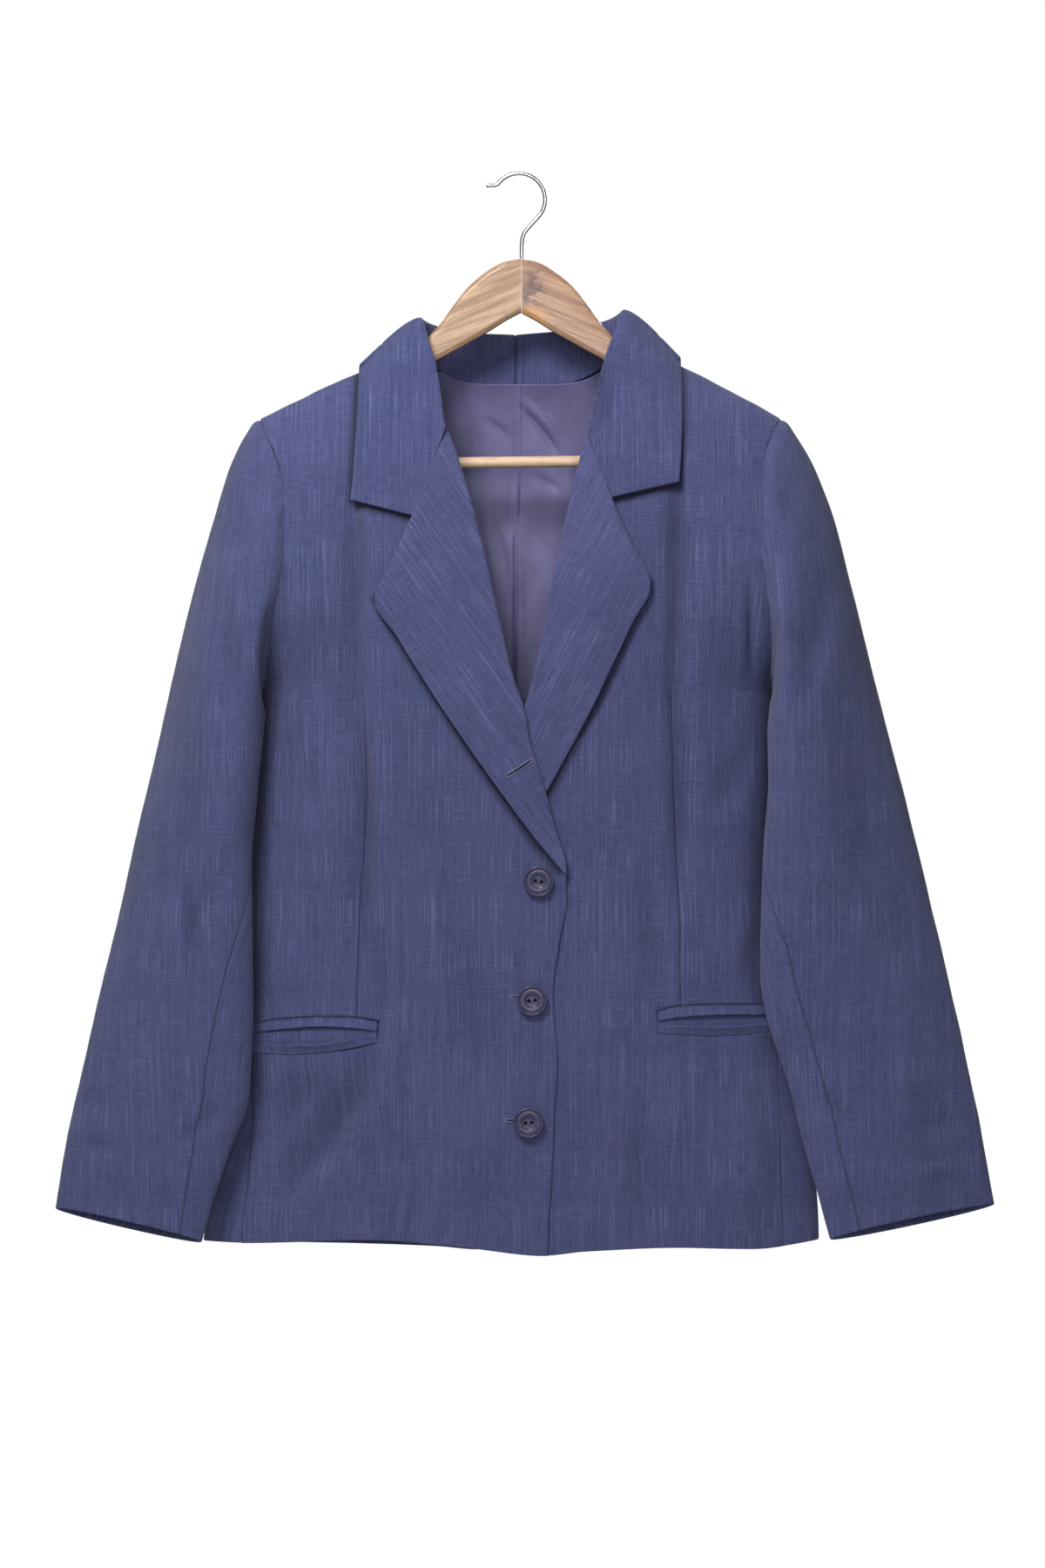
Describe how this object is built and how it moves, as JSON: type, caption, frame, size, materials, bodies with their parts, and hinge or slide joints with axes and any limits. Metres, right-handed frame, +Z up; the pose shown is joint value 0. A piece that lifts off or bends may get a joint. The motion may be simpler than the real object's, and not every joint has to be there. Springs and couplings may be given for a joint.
{
  "type": "single breasted blazer on a clothes hanger",
  "caption": "Single breasted blazer with notched lapels, long sleeves and welt pockets, buttoned up and hanging on a jointed wooden hanger with a wire hook.",
  "frame": {"origin": "highest point inside the hook, where a rail or peg carries the hanger", "axes": "+Z up along the hanging garment, -Y the way its front faces, +X towards the wearer's left sleeve"},
  "size_m": [0.7084, 0.1096, 0.8192],
  "materials": {
    "slate_cloth": "slubbed linen-look plain weave, matt",
    "lining_satin": "soft satin sheen",
    "button_resin": "polished",
    "hanger_wood": "clear satin varnish",
    "hook_chrome": "polished"
  },
  "bodies": {
    "root": {"front_right": "slate_cloth", "front_left": "slate_cloth", "back_right": "slate_cloth", "back_left": "slate_cloth", "sleeve_upper_right": "slate_cloth", "sleeve_upper_left": "slate_cloth", "sleeve_under_right": "slate_cloth", "sleeve_under_left": "slate_cloth", "collar_right": "slate_cloth", "collar_left": "slate_cloth", "lapel_right": "slate_cloth", "lapel_left": "slate_cloth", "lining_right": "lining_satin", "lining_left": "lining_satin", "welt_upper_right": "slate_cloth", "welt_upper_left": "slate_cloth", "welt_lower_right": "slate_cloth", "welt_lower_left": "slate_cloth", "pocket_facing_right": "slate_cloth", "pocket_facing_left": "slate_cloth", "button_1": "button_resin", "button_2": "button_resin", "button_3": "button_resin", "hanger_arm_right": "hanger_wood", "hanger_arm_left": "hanger_wood", "hanger_bar": "hanger_wood", "hanger_hook": "hook_chrome"}
  },
  "joints": []
}
